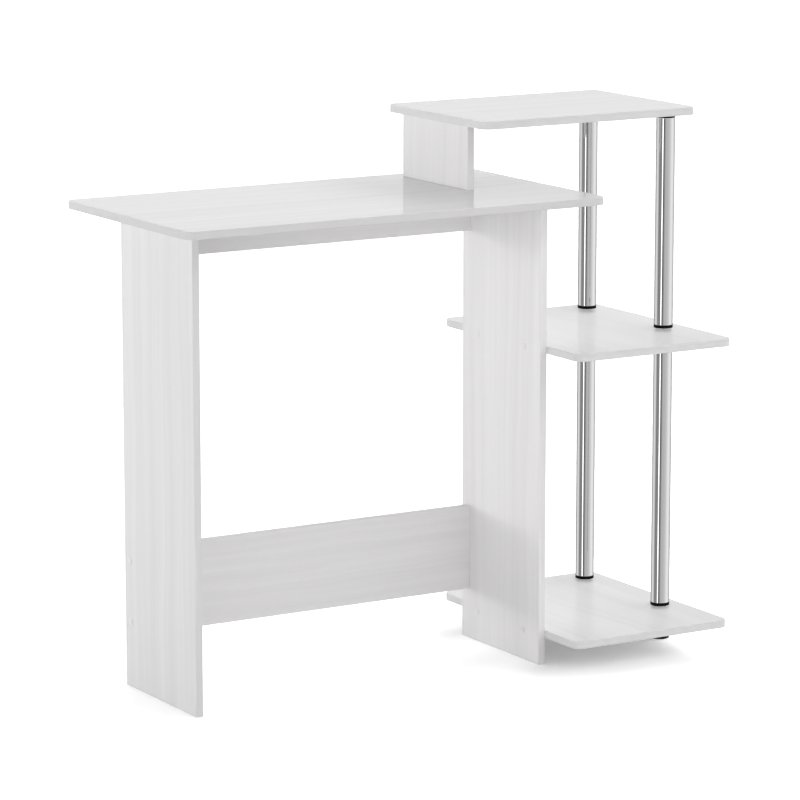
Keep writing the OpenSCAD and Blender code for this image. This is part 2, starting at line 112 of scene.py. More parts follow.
class ShaderSheet:
    """Adds and links the nodes of one shader tree."""

    # A Mix node's two inputs and its output go by number, because several share one name.
    COLOUR_SOCKETS = (6, 7, 2)
    POINT_SOCKETS = (4, 5, 1)

    def __init__(self, tree: bpy.types.NodeTree) -> None:
        """Starts on an empty tree.

        Args:
            tree: Tree of a material, a world or a group.
        """
        self.tree = tree
        tree.nodes.clear()

    def add(
        self, kind: str, inputs: dict[str | int, Value] | None = None, **settings: Value
    ) -> bpy.types.Node:
        """Adds one node.

        Args:
            kind: Type name of the node.
            inputs: Socket name or number, and the value or the output that feeds it.
            **settings: Properties of the node.

        Returns:
            The new node.
        """
        node = self.tree.nodes.new(kind)
        for name, value in settings.items():
            setattr(node, name, value)
        for socket, value in (inputs or {}).items():
            self.feed(node.inputs[socket], value)
        return node

    def feed(self, socket: bpy.types.NodeSocket, value: Value) -> None:
        """Links an output to the socket, or sets the socket's own value."""
        if isinstance(value, bpy.types.NodeSocket):
            self.tree.links.new(value, socket)
        else:
            socket.default_value = value

    def math(self, operation: str, *values: Value) -> bpy.types.NodeSocket:
        """Returns the result of a Math node on the given values."""
        return self.add("ShaderNodeMath", dict(enumerate(values)), operation=operation).outputs[0]

    def vector_math(self, operation: str, *values: Value) -> bpy.types.NodeSocket:
        """Returns the vector that a Vector Math node makes of the given values."""
        node = self.add("ShaderNodeVectorMath", dict(enumerate(values)), operation=operation)
        return node.outputs["Vector"]

    def scaled(self, vector: Value, scale: Triple) -> bpy.types.NodeSocket:
        """Returns the vector with each part multiplied by its own scale."""
        return self.vector_math("MULTIPLY", vector, scale)

    def times(self, vector: Value, factor: Value) -> bpy.types.NodeSocket:
        """Returns the whole vector or colour multiplied by one value."""
        node = self.add("ShaderNodeVectorMath", {0: vector, "Scale": factor}, operation="SCALE")
        return node.outputs["Vector"]

    def lean(self, way: Value, towards: Triple) -> bpy.types.NodeSocket:
        """Returns how far one direction points towards another, from -1 to 1."""
        node = self.add("ShaderNodeVectorMath", {0: way, 1: towards}, operation="DOT_PRODUCT")
        return node.outputs["Value"]

    def parts(self, vector: Value) -> bpy.types.bpy_prop_collection:
        """Returns the X, Y and Z of a vector by their names."""
        return self.add("ShaderNodeSeparateXYZ", {0: vector}).outputs

    def joined(self, *parts: Value) -> bpy.types.NodeSocket:
        """Returns the vector of three values."""
        return self.add("ShaderNodeCombineXYZ", dict(enumerate(parts))).outputs[0]

    def noise(self, point: Value, detail: float = 2.0, roughness: float = 0.5) -> bpy.types.NodeSocket:
        """Returns smooth noise from 0 to 1 at the given point."""
        inputs = {"Vector": point, "Scale": 1.0, "Detail": detail, "Roughness": roughness}
        return self.add("ShaderNodeTexNoise", inputs).outputs["Fac"]

    def step(self, value: Value, edge: Pair) -> bpy.types.NodeSocket:
        """Returns 0 below an edge, 1 above it and a smooth rise between its two limits."""
        inputs = {"Value": value, "From Min": edge[0], "From Max": edge[1]}
        return self.add("ShaderNodeMapRange", inputs, interpolation_type="SMOOTHSTEP").outputs["Result"]

    def span(self, value: Value, low: float, high: float) -> bpy.types.NodeSocket:
        """Returns value, from 0 to 1, spread over low to high."""
        inputs = {"Value": value, "To Min": low, "To Max": high}
        return self.add("ShaderNodeMapRange", inputs).outputs["Result"]

    def blend(self, factor: Value, first: Value, second: Value) -> bpy.types.NodeSocket:
        """Returns the first colour mixed with the second by a factor from 0 to 1."""
        return self._mix("RGBA", self.COLOUR_SOCKETS, (factor, first, second))

    def choose(self, factor: Value, first: Value, second: Value) -> bpy.types.NodeSocket:
        """Returns the first point where the factor is 0 and the second where it is 1."""
        return self._mix("VECTOR", self.POINT_SOCKETS, (factor, first, second))

    def _mix(
        self, data_type: str, sockets: tuple[int, int, int], values: tuple[Value, Value, Value]
    ) -> bpy.types.NodeSocket:
        """Adds a Mix node.

        Args:
            data_type: What it mixes.
            sockets: Numbers of its two inputs and its output.
            values: The factor and the two that are mixed.

        Returns:
            Its output.
        """
        first, second, result = sockets
        inputs = dict(zip(("Factor", first, second), values))
        return self.add("ShaderNodeMix", inputs, data_type=data_type).outputs[result]

    def group(self, tree: bpy.types.NodeTree, inputs: dict[str, Value]) -> bpy.types.Node:
        """Returns a node that places a shared group here."""
        return self.add("ShaderNodeGroup", inputs, node_tree=tree)

    def bump(self, height: Value, distance: float) -> bpy.types.NodeSocket:
        """Returns the normal of a surface with that height, distance in metres."""
        return self.add("ShaderNodeBump", {"Height": height, "Distance": distance}).outputs["Normal"]


class GroupSheet(ShaderSheet):
    """Sheet of a shared shader group, with the nodes of its inputs and its outputs."""

    def __init__(self, name: str, inputs: dict[str, str], outputs: dict[str, str]) -> None:
        """Starts a group.

        Args:
            name: Name of the group.
            inputs: Name and socket type of each input.
            outputs: Name and socket type of each output.
        """
        tree = bpy.data.node_groups.new(name, "ShaderNodeTree")
        for label, kind in inputs.items():
            tree.interface.new_socket(name=label, in_out="INPUT", socket_type=kind)
        for label, kind in outputs.items():
            tree.interface.new_socket(name=label, in_out="OUTPUT", socket_type=kind)
        super().__init__(tree)
        self.given = self.add("NodeGroupInput")
        self.result = self.add("NodeGroupOutput")

    def put_out(self, **results: Value) -> bpy.types.NodeTree:
        """Feeds the group's outputs by their names and returns the finished group."""
        for label, value in results.items():
            self.feed(self.result.inputs[label], value)
        return self.tree


@dataclass(frozen=True)
class GrainLayer:
    """One layer of a wood's grain: noise drawn out along the board.

    Attributes:
        along: Marks in a metre along the grain.
        across: Marks in a metre across it.
        roughness: Strength of the finer marks within them.
        detail: How many sizes of finer marks there are.
    """

    along: float
    across: float
    roughness: float = 0.5
    detail: float = 2.0

    def level(self, sheet: ShaderSheet, point: Value) -> bpy.types.NodeSocket:
        """Returns the layer's level at a point, from 0 to 1."""
        drawn_out = sheet.scaled(point, (self.along, self.across, self.across))
        return sheet.noise(drawn_out, self.detail, self.roughness)


@dataclass(frozen=True)
class WoodGrain:
    """Wood grain that runs along X of the point that it gets, in metres.

    Attributes:
        drift: Layer that makes the grain wander.
        sway: Width that it wanders over, in metres.
        bands: Broad lighter and darker bands.
        figure: Narrower bands within them.
        streaks: Fine streaks.
        marks: Layer that places the pores.
        band_share: Share of the bands in the tone.
        figure_share: Share of the figure in the tone.
        streak_share: Share of the streaks in the tone.
        tone_limits: What a tone of 0 and of 1 is spread to.
        cluster_edge: Levels of the bands between which the pores come closer together.
        pore_edge: Levels of the marks between which a pore begins.
        pore_limits: Strength of the pores outside and inside the clusters.
        streak_height: Height of the streaks beside the depth of the pores.
    """

    drift: GrainLayer = GrainLayer(along=2.2, across=7.0)
    sway: float = 0.05
    bands: GrainLayer = GrainLayer(along=0.8, across=34.0)
    figure: GrainLayer = GrainLayer(along=1.6, across=130.0, roughness=0.55)
    streaks: GrainLayer = GrainLayer(along=9.0, across=800.0, roughness=0.6)
    marks: GrainLayer = GrainLayer(along=90.0, across=2100.0, detail=1.0)
    band_share: float = 0.58
    figure_share: float = 0.36
    streak_share: float = 0.06
    tone_limits: Pair = (-0.62, 1.62)
    cluster_edge: Pair = (0.40, 0.62)
    pore_edge: Pair = (0.62, 0.74)
    pore_limits: Pair = (0.10, 0.5)
    streak_height: float = 0.35

    def build(self) -> bpy.types.NodeTree:
        """Returns the group, which gives the wood's tone, its pores and its height."""
        sheet = GroupSheet(
            "wood grain",
            {"Point": "NodeSocketVector"},
            {"Tone": "NodeSocketFloat", "Pores": "NodeSocketFloat", "Height": "NodeSocketFloat"},
        )
        point = self._wandering(sheet, sheet.given.outputs["Point"])
        bands = self.bands.level(sheet, point)
        streaks = self.streaks.level(sheet, point)
        broad = sheet.math(
            "ADD",
            sheet.math("MULTIPLY", bands, self.band_share),
            sheet.math("MULTIPLY", self.figure.level(sheet, point), self.figure_share),
        )
        tone = sheet.math("ADD", broad, sheet.math("MULTIPLY", streaks, self.streak_share))
        begun = sheet.step(self.marks.level(sheet, point), self.pore_edge)
        dense = sheet.span(sheet.step(bands, self.cluster_edge), *self.pore_limits)
        pores = sheet.math("MULTIPLY", begun, dense)
        height = sheet.math("SUBTRACT", sheet.math("MULTIPLY", streaks, self.streak_height), pores)
        return sheet.put_out(Tone=sheet.span(tone, *self.tone_limits), Pores=pores, Height=height)

    def _wandering(self, sheet: ShaderSheet, point: Value) -> bpy.types.NodeSocket:
        """Returns the point moved across the grain, so that the grain isn't dead straight."""
        drift = sheet.math("SUBTRACT", self.drift.level(sheet, point), 0.5)
        apart = sheet.parts(point)
        across = sheet.math("ADD", apart["Y"], sheet.math("MULTIPLY", drift, self.sway))
        return sheet.joined(apart["X"], across, apart["Z"])


@dataclass(frozen=True)
class Mottle:
    """Even mottling of a given size, for moulded, cast and drawn surfaces.

    Attributes:
        detail: How many sizes of finer marks the fine mottling has.
        roughness: Strength of those finer marks.
        fine_edge: Levels between which a fine mark begins.
        soft_scale: How many soft patches there are to one fine mark, along each axis.
        soft_edge: Levels between which a soft patch begins.
    """

    detail: float = 3.0
    roughness: float = 0.6
    fine_edge: Pair = (0.35, 0.65)
    soft_scale: Triple = (0.12, 0.12, 0.12)
    soft_edge: Pair = (0.3, 0.7)

    def build(self) -> bpy.types.NodeTree:
        """Returns the group, which gives a mask of fine marks and one of soft patches."""
        sheet = GroupSheet(
            "mottle",
            {"Point": "NodeSocketVector", "Per Metre": "NodeSocketFloat"},
            {"Mask": "NodeSocketFloat", "Soft": "NodeSocketFloat"},
        )
        point = sheet.times(sheet.given.outputs["Point"], sheet.given.outputs["Per Metre"])
        fine = sheet.noise(point, self.detail, self.roughness)
        soft = sheet.noise(sheet.scaled(point, self.soft_scale))
        return sheet.put_out(Mask=sheet.step(fine, self.fine_edge), Soft=sheet.step(soft, self.soft_edge))


class SharedGroups:
    """Shader groups that more than one finish places."""

    def __init__(self) -> None:
        """Builds each group once."""
        self.grain = WoodGrain().build()
        self.mottle = Mottle().build()


class Finish:
    """What every finish shares: an empty material with one surface shader."""

    @staticmethod
    def start(name: str) -> tuple[bpy.types.Material, ShaderSheet, bpy.types.Node]:
        """Starts a material.

        Args:
            name: Name of the material.

        Returns:
            The material, its sheet and its surface shader.
        """
        material = bpy.data.materials.new(name)
        material.use_nodes = True
        sheet = ShaderSheet(material.node_tree)
        shader = sheet.add("ShaderNodeBsdfPrincipled")
        sheet.add("ShaderNodeOutputMaterial", {"Surface": shader.outputs[0]})
        return material, sheet, shader


@dataclass(frozen=True)
class Laminate(Finish):
    """Pale oak laminate with a faint grain, smooth enough to mirror what stands on it.

    Attributes:
        light: Colour between the darker bands of the grain.
        dark: Colour of the darker bands.
        pore: Colour of the fine pores.
        pore_strength: How strongly the pores show.
        light_roughness: Roughness of the light wood, beside the board's.
        dark_roughness: Roughness of the dark wood, beside the board's.
        grain_depth: Depth of the pressed grain, in metres.
        band_roughness: Roughness that the edge bands have above the faces'.
        band_shift: Part of the pattern that the edge bands show, in metres.
        face_edge: Shares of the normal through the board between which a band becomes a face.
        end_edge: Shares of the normal along the board between which a band is at its end.
    """

    light: Colour = (0.791, 0.782, 0.787, 1.0)
    dark: Colour = (0.695, 0.685, 0.690, 1.0)
    pore: Colour = (0.592, 0.582, 0.584, 1.0)
    pore_strength: float = 0.6
    light_roughness: float = 0.85
    dark_roughness: float = 1.25
    grain_depth: float = 0.00001
    band_roughness: float = 0.12
    band_shift: Triple = (0.37, 0.11, 0.23)
    face_edge: Pair = (0.60, 0.80)
    end_edge: Pair = (0.65, 0.75)

    def material(
        self, groups: SharedGroups, name: str, look: BoardLook, shift: Vector
    ) -> bpy.types.Material:
        """Makes the finish of one board.

        Args:
            groups: Shared shader groups.
            name: Name of the material.
            look: How the board lies and is finished.
            shift: Part of the pattern that this board shows, in metres.

        Returns:
            The material.
        """
        material, sheet, shader = self.start(name)
        point, is_band = self._place(sheet, look.lay, shift)
        pattern = sheet.group(groups.grain, {"Point": point}).outputs
        colour = self._printed(sheet, pattern, look.figure)
        # Painted light: the board's tone makes its whole colour lighter or darker in place of light, and
        # the edge bands are darker again by their band tone.
        shade = sheet.span(is_band, look.tone, look.tone * look.band_tone)
        rough = sheet.span(
            pattern["Tone"], look.roughness * self.dark_roughness, look.roughness * self.light_roughness
        )
        rougher = sheet.math("ADD", rough, sheet.math("MULTIPLY", is_band, self.band_roughness))
        sheet.feed(shader.inputs["Base Color"], sheet.times(colour, shade))
        sheet.feed(shader.inputs["Roughness"], rougher)
        sheet.feed(shader.inputs["Normal"], sheet.bump(pattern["Height"], self.grain_depth))
        return material

    def _place(
        self, sheet: ShaderSheet, lay: Lay, shift: Vector
    ) -> tuple[bpy.types.NodeSocket, bpy.types.NodeSocket]:
        """Finds where the surface lies in the pattern.

        Args:
            sheet: Sheet of the material.
            lay: How the board lies.
            shift: Part of the pattern that this board shows, in metres.

        Returns:
            The point in the pattern, and 1 on the edge bands and 0 on the faces.
        """
        along, across, through = lay.value
        surface = sheet.add("ShaderNodeTexCoord").outputs
        apart = sheet.parts(sheet.vector_math("ADD", surface["Object"], tuple(shift)))
        facing = sheet.parts(surface["Normal"])
        on_face = sheet.joined(apart[along], apart[across], apart[through])
        on_end = sheet.joined(apart[across], apart[along], apart[through])
        is_end = sheet.step(sheet.math("ABSOLUTE", facing[along]), self.end_edge)
        is_face = sheet.step(sheet.math("ABSOLUTE", facing[through]), self.face_edge)
        is_band = sheet.math("SUBTRACT", 1.0, is_face)
        strip = sheet.vector_math("ADD", sheet.choose(is_end, on_face, on_end), self.band_shift)
        return sheet.choose(is_band, on_face, strip), is_band

    def _printed(
        self, sheet: ShaderSheet, pattern: bpy.types.bpy_prop_collection, strength: float
    ) -> bpy.types.NodeSocket:
        """Returns the printed wood's colour, with a grain of that strength about its middle tone."""
        middle = 0.5 - 0.5 * strength
        tone = sheet.math("MULTIPLY_ADD", pattern["Tone"], strength, middle)
        wood = sheet.blend(tone, self.dark, self.light)
        pores = sheet.math("MULTIPLY", pattern["Pores"], self.pore_strength * strength)
        return sheet.blend(pores, wood, self.pore)


@dataclass(frozen=True)
class PolishedSteel(Finish):
    """Polished steel tube with faint lines from drawing.

    Attributes:
        colour: Colour of the steel.
        darkest: Share of the colour in its darkest lines.
        lightest: Share of the colour in its lightest lines.
        lines_per_metre: Drawn lines in a metre along each axis.
        line_depth: Depth of the lines, in metres.
        smears_per_metre: Fine marks in a metre of the mottling that dulls it.
        roughness: Roughness of the polish.
        smoothest: Share of the roughness between the smears.
        roughest: Share of the roughness in the smears.
    """

    colour: Colour = grey(0.80)
    darkest: float = 0.97
    lightest: float = 1.02
    lines_per_metre: Triple = (1500.0, 1500.0, 12.0)
    line_depth: float = 0.000006
    smears_per_metre: float = 160.0
    roughness: float = 0.07
    smoothest: float = 0.8
    roughest: float = 1.3

    def material(self, groups: SharedGroups, name: str) -> bpy.types.Material:
        """Returns the material."""
        material, sheet, shader = self.start(name)
        point = sheet.add("ShaderNodeTexCoord").outputs["Object"]
        lines = sheet.noise(sheet.scaled(point, self.lines_per_metre))
        smears = sheet.group(groups.mottle, {"Point": point, "Per Metre": self.smears_per_metre})
        tint = sheet.blend(lines, dimmed(self.colour, self.darkest), dimmed(self.colour, self.lightest))
        rough = sheet.span(
            smears.outputs["Soft"], self.roughness * self.smoothest, self.roughness * self.roughest
        )
        sheet.feed(shader.inputs["Base Color"], tint)
        sheet.feed(shader.inputs["Roughness"], rough)
        sheet.feed(shader.inputs["Normal"], sheet.bump(lines, self.line_depth))
        shader.inputs["Metallic"].default_value = 1.0
        return material


@dataclass(frozen=True)
class Textured(Finish):
    """Surface of one colour with a fine even texture.

    Attributes:
        colour: Its colour.
        roughness: Its roughness.
        texture_depth: Depth of the texture, in metres.
        texture_per_metre: Fine marks in a metre.
        sheen_level: Strength of what it mirrors, 0.5 for most plastics.
        dull_share: Share of the colour's brightness in the darker patches.
        smoother: How far the roughness falls between the marks.
        rougher: How far it rises in the marks.
        metallic: 1 for metal.
    """

    colour: Colour
    roughness: float = 0.4
    texture_depth: float = 0.00002
    texture_per_metre: float = 2200.0
    sheen_level: float = 0.5
    dull_share: float = 0.9
    smoother: float = 0.05
    rougher: float = 0.08
    metallic: float = 0.0

    def material(self, groups: SharedGroups, name: str) -> bpy.types.Material:
        """Returns the material."""
        material, sheet, shader = self.start(name)
        point = sheet.add("ShaderNodeTexCoord").outputs["Object"]
        skin = sheet.group(groups.mottle, {"Point": point, "Per Metre": self.texture_per_metre}).outputs
        tint = sheet.blend(skin["Soft"], dimmed(self.colour, self.dull_share), self.colour)
        rough = sheet.span(skin["Mask"], self.roughness - self.smoother, self.roughness + self.rougher)
        sheet.feed(shader.inputs["Base Color"], tint)
        sheet.feed(shader.inputs["Roughness"], rough)
        sheet.feed(shader.inputs["Normal"], sheet.bump(skin["Mask"], self.texture_depth))
        shader.inputs["Specular IOR Level"].default_value = self.sheen_level
        shader.inputs["Metallic"].default_value = self.metallic
        return material


@dataclass(frozen=True)
class MouldedPlastic(Textured):
    """Moulded plastic with a fine spark-eroded texture."""


@dataclass(frozen=True)
class BareMetal(Textured):
    """Zinc-plated or cast metal of the furniture fittings."""

    dull_share: float = 0.82
    smoother: float = 0.06
    rougher: float = 0.1
    metallic: float = 1.0


@dataclass(frozen=True)
class Beech(Finish):
    """Bare beech of the dowels, with its grain along them.

    Attributes:
        light: Colour of the lighter wood.
        dark: Colour of the darker wood.
        grain_scale: How much finer the grain is than the laminate's, along each axis.
        grain_depth: Depth of the grain, in metres.
        roughness: Roughness of the wood.
    """

    light: Colour = (0.62, 0.42, 0.25, 1.0)
    dark: Colour = (0.47, 0.30, 0.17, 1.0)
    grain_scale: Triple = (3.0, 3.0, 3.0)
    grain_depth: float = 0.00005
    roughness: float = 0.6

    def material(self, groups: SharedGroups, name: str) -> bpy.types.Material:
        """Returns the material."""
        material, sheet, shader = self.start(name)
        apart = sheet.parts(sheet.add("ShaderNodeTexCoord").outputs["Object"])
        along_z = sheet.joined(apart["Z"], apart["X"], apart["Y"])
        pattern = sheet.group(groups.grain, {"Point": sheet.scaled(along_z, self.grain_scale)}).outputs
        sheet.feed(shader.inputs["Base Color"], sheet.blend(pattern["Tone"], self.dark, self.light))
        sheet.feed(shader.inputs["Normal"], sheet.bump(pattern["Height"], self.grain_depth))
        shader.inputs["Roughness"].default_value = self.roughness
        return material


def dress(node: bpy.types.Object, material: bpy.types.Material) -> None:
    """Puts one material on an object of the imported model."""
    if not node.material_slots:
        node.data.materials.append(None)
    for slot in node.material_slots:
        slot.link = "OBJECT"
        slot.material = material


def new_object(name: str, shape: bmesh.types.BMesh, material: bpy.types.Material) -> bpy.types.Object:
    """Makes an object of a finished shape.

    Args:
        name: Name of the object.
        shape: Shape in metres, at its own place, which is freed here.
        material: Finish of the whole object.

    Returns:
        The object, at the origin.
    """
    mesh = bpy.data.meshes.new(name)
    shape.to_mesh(mesh)
    shape.free()
    mesh.materials.append(material)
    made = bpy.data.objects.new(name, mesh)
    bpy.context.scene.collection.objects.link(made)
    return made


def shade_by_area(piece: bpy.types.Object) -> None:
    """Lets the large faces of a piece set its smooth shading, so that they seem flat or straight."""
    shading = piece.modifiers.new("shade by area", "WEIGHTED_NORMAL")
    shading.mode = "FACE_AREA"
    shading.weight = 100
    shading.keep_sharp = True


def take_place(piece: bpy.types.Object, node: str) -> str:
    """Puts a piece in the place of a node.

    Args:
        piece: The piece.
        node: Name of the node that it stands for.

    Returns:
        Name of the piece.
    """
    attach(piece, BODY)
    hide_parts(node)
    return piece.name


@dataclass
class Boards:
    """The nine boards of the desk, with their edges rounded over.

    Attributes:
        groups: Shared shader groups.
        nodes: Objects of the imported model.
        finish: Laminate of every board.
        shift_way: Direction in the pattern from one board's part to the next one's.
        shift_step: Distance between the boards' parts of the pattern, in metres.
        flat_within: Angle up to which neighbouring faces are one, in degrees.
        sharp_from: Angle above which an edge is rounded, in degrees.
        edge_round: Rounding added to each eased edge, in metres.
        round_steps: Faces across that rounding.
    """

    groups: SharedGroups
    nodes: dict[str, bpy.types.Object]
    finish: Laminate = Laminate()
    shift_way: Triple = (1.0, 1.7, 2.3)
    shift_step: float = 0.731
    flat_within: float = 0.2
    sharp_from: float = 30.0
    edge_round: float = 0.00025
    round_steps: int = 3

    MIRRORED = ("upper_side_panel",)  # The one board that the desktop mirrors in the photograph.
    # The tones are painted light: the middle leg, which the left leg shades, and the top shelf are made
    # lighter and the left leg darker. The band tones are partly darker edge bands and partly painted
    # shade.
    LOOKS = {
        "desktop": BoardLook(Lay.FLAT_ALONG_X, band_tone=0.84, roughness=0.08),
        "left_leg_panel": BoardLook(Lay.UPRIGHT_ALONG_Z, tone=0.97, band_tone=0.94, figure=0.9),
        "middle_leg_panel": BoardLook(Lay.UPRIGHT_ALONG_Z, tone=1.05, band_tone=0.98, figure=0.9),
        "stretcher_panel": BoardLook(Lay.RAIL_ALONG_X),
        "apron_rail": BoardLook(Lay.RAIL_ALONG_X),
        "upper_side_panel": BoardLook(Lay.UPRIGHT_ALONG_Z, band_tone=0.92),
        "top_shelf": BoardLook(Lay.FLAT_ALONG_X, tone=1.02, roughness=0.12, figure=1.15),
        "middle_shelf": BoardLook(Lay.FLAT_ALONG_Y, band_tone=0.90),
        "bottom_shelf": BoardLook(Lay.FLAT_ALONG_Y, band_tone=0.91),
    }

    def build(self) -> list[str]:
        """Makes each board with its own part of the laminate's pattern.

        Returns:
            Names of the boards.
        """
        built = []
        for count, (name, look) in enumerate(self.LOOKS.items(), start=1):
            shift = Vector(self.shift_way) * self.shift_step * count
            material = self.finish.material(self.groups, f"laminate {name}", look, shift)
            dress(self.nodes[name], material)
            board = self._board(name, material)
            board.visible_glossy = name in self.MIRRORED
            built.append(take_place(board, name))
        return built

    def _board(self, name: str, material: bpy.types.Material) -> bpy.types.Object:
        """Makes one board from its solid, with whole faces and rounded edges.

        Args:
            name: Name of the board's node.
            material: Finish of the board.

        Returns:
            The board.
        """
        shape = bmesh.new()
        shape.from_mesh(self.nodes[name].data)
        bmesh.ops.remove_doubles(shape, verts=shape.verts, dist=ONE_POINT)
        bmesh.ops.dissolve_limit(
            shape, angle_limit=math.radians(self.flat_within), verts=shape.verts, edges=shape.edges
        )
        for face in shape.faces:
            face.smooth = True
        board = new_object(f"{name}_board", shape, material)
        round_over = board.modifiers.new("edge round", "BEVEL")
        round_over.width = self.edge_round
        round_over.segments = self.round_steps
        round_over.limit_method = "ANGLE"
        round_over.angle_limit = math.radians(self.sharp_from)
        shade_by_area(board)
        return board


@dataclass
class Tubes:
    """The four polished tubes, turned with rolled ends.

    Attributes:
        groups: Shared shader groups.
        nodes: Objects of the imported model.
        finish: Steel of every tube.
        wall: Thickness of the tubes' wall, in metres.
        roll: Radius of the rolled ends, in metres.
        roll_steps: Faces across a rolled end.
        joint_gap: Narrow joint left between a tube's upper end and its plug's flange, in metres.
        steps: Faces round a tube.
        sharp_from: Angle above which an edge stays sharp, in degrees.
    """

    groups: SharedGroups
    nodes: dict[str, bpy.types.Object]
    finish: PolishedSteel = PolishedSteel()
    wall: float = 0.0008
    roll: float = 0.0003
    roll_steps: int = 4
    joint_gap: float = 0.0007
    steps: int = 96
    sharp_from: float = 50.0

    NAMES = ("lower_front_tube", "lower_back_tube", "upper_front_tube", "upper_back_tube")

    def build(self) -> list[str]:
        """Turns each tube where its solid stands.

        Returns:
            Names of the tubes.
        """
        steel = self.finish.material(self.groups, "polished steel")
        built = []
        for name in self.NAMES:
            dress(self.nodes[name], steel)
            built.append(take_place(self._tube(name, steel), name))
        return built

    def _tube(self, name: str, material: bpy.types.Material) -> bpy.types.Object:
        """Spins the outline of one tube's wall about the tube's axis.

        Args:
            name: Name of the tube's node.
            material: Finish of the tube.

        Returns:
            The tube.
        """
        low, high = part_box(name)
        axis = Vector(((low.x + high.x) / 2, (low.y + high.y) / 2, 0.0))
        outline = self._outline((high.x - low.x) / 2, low.z, high.z - self.joint_gap)
        shape = bmesh.new()
        points = [shape.verts.new(axis + Vector((out, 0.0, height))) for out, height in outline]
        edges = [shape.edges.new(pair) for pair in zip(points, points[1:] + points[:1])]
        bmesh.ops.spin(
            shape, geom=points + edges, cent=axis, axis=(0.0, 0.0, 1.0), angle=math.tau,
            steps=self.steps, use_merge=True,
        )
        bmesh.ops.remove_doubles(shape, verts=shape.verts, dist=ONE_POINT)
        bmesh.ops.recalc_face_normals(shape, faces=shape.faces)
        for face in shape.faces:
            face.smooth = True
        tube = new_object(f"{name}_turned", shape, material)
        tube.data.set_sharp_from_angle(angle=math.radians(self.sharp_from))
        shade_by_area(tube)
        return tube

    def _outline(self, radius: float, bottom: float, top: float) -> list[tuple[float, float]]:
        """Draws the section of a tube's wall.

        Args:
            radius: Outer radius of the tube.
            bottom: Height of its lower end.
            top: Height of its upper end.

        Returns:
            Distance from the axis and height of each point, going up outside and down inside.
        """
        turns = [math.radians(90 * part / self.roll_steps) for part in range(self.roll_steps + 1)]
        rolled = [(self.roll * (1 - math.cos(turn)), self.roll * math.sin(turn)) for turn in turns]
        foot = [(radius - self.roll + rise, bottom + inward) for inward, rise in rolled]
        head = [(radius - inward, top - self.roll + rise) for inward, rise in rolled]
        inside = radius - self.wall
        return foot + head + [(inside, top), (inside, bottom)]


@dataclass
class Fittings:
    """The tubes' plastic parts, and every screw, cam and dowel.

    Attributes:
        groups: Shared shader groups.
        nodes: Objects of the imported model.
    """

    groups: SharedGroups
    nodes: dict[str, bpy.types.Object]

    FINISHES = {
        "black plastic": MouldedPlastic(grey(0.0025), roughness=0.5, sheen_level=0.06),
        "black foot plastic": MouldedPlastic(grey(0.003), roughness=0.46, sheen_level=0.12),
        "white plastic": MouldedPlastic(grey(0.75), roughness=0.3),
        "zinc plate": BareMetal(
            (0.62, 0.64, 0.68, 1.0), roughness=0.3, texture_depth=0.00001, texture_per_metre=1500.0
        ),
        "cast zinc": BareMetal(
            grey(0.5), roughness=0.48, texture_depth=0.00003, texture_per_metre=1100.0
        ),
        "beech": Beech(),
    }
    KINDS = {
        "collar": "black plastic", "plug": "black plastic", "bush": "black plastic",
        "foot": "black foot plastic", "caps": "white plastic", "screws": "zinc plate",
        "bolts": "zinc plate", "cams": "cast zinc", "dowels": "beech",
    }

    def build(self) -> list[str]:
        """Dresses each fitting by what it is made of.

        Returns:
            Names of the fittings.
        """
        materials = {name: finish.material(self.groups, name) for name, finish in self.FINISHES.items()}
        dressed = []
        for name, node in self.nodes.items():
            kind = name.rsplit("_", 1)[-1]
            if kind in self.KINDS:
                dress(node, materials[self.KINDS[kind]])
                # Most lie inside boards that nothing mirrors, and would show through in a mirror image.
                node.visible_glossy = False
                dressed.append(name)
        return dressed


@dataclass(frozen=True)
class PhotoCamera:
    """Camera at the photograph's viewing angle, level from side to side.

    Attributes:
        place: Where it stands, in metres.
        turn: Degrees that it looks to the right of straight ahead, which is +Y.
        tilt: Degrees that it looks up.
        lens: Focal length, in millimetres.
        sensor: Width of the sensor, in millimetres.
        clip: Nearest and furthest distance that it shows, in metres.
    """

    place: Triple = (-3.1436, -5.2121, 1.5763)
    turn: float = 31.03
    tilt: float = -10.755
    lens: float = 181.4
    sensor: float = 36.0
    clip: Pair = (0.1, 100.0)

    def build(self) -> None:
        """Adds the camera and makes it the scene's own."""
        data = bpy.data.cameras.new("photo camera")
        data.lens = self.lens
        data.sensor_width = self.sensor
        data.clip_start, data.clip_end = self.clip
        camera = bpy.data.objects.new("photo camera", data)
        camera.location = self.place
        camera.rotation_euler = (math.radians(90 + self.tilt), 0.0, math.radians(-self.turn))
        bpy.context.scene.collection.objects.link(camera)
        bpy.context.scene.camera = camera


@dataclass(frozen=True)
class Softbox:
    """One soft lamp of the studio, which nothing mirrors.

    Attributes:
        name: Its name.
        place: Where it stands, in metres.
        aim: Point that it faces, in metres.
        size: Its width and height, in metres.
        power: Its power, in watts.
    """

    name: str
    place: Triple
    aim: Triple
    size: Pair
    power: float

    def build(self) -> None:
        """Adds the lamp."""
        data = bpy.data.lights.new(self.name, "AREA")
        data.shape = "RECTANGLE"
        data.size, data.size_y = self.size
        data.energy = self.power
        lamp = bpy.data.objects.new(self.name, data)
        lamp.location = self.place
        way = Vector(self.aim) - Vector(self.place)
        lamp.rotation_euler = way.to_track_quat("-Z", "Y").to_euler()
        lamp.visible_glossy = False
        lamp.visible_camera = False
        bpy.context.scene.collection.objects.link(lamp)


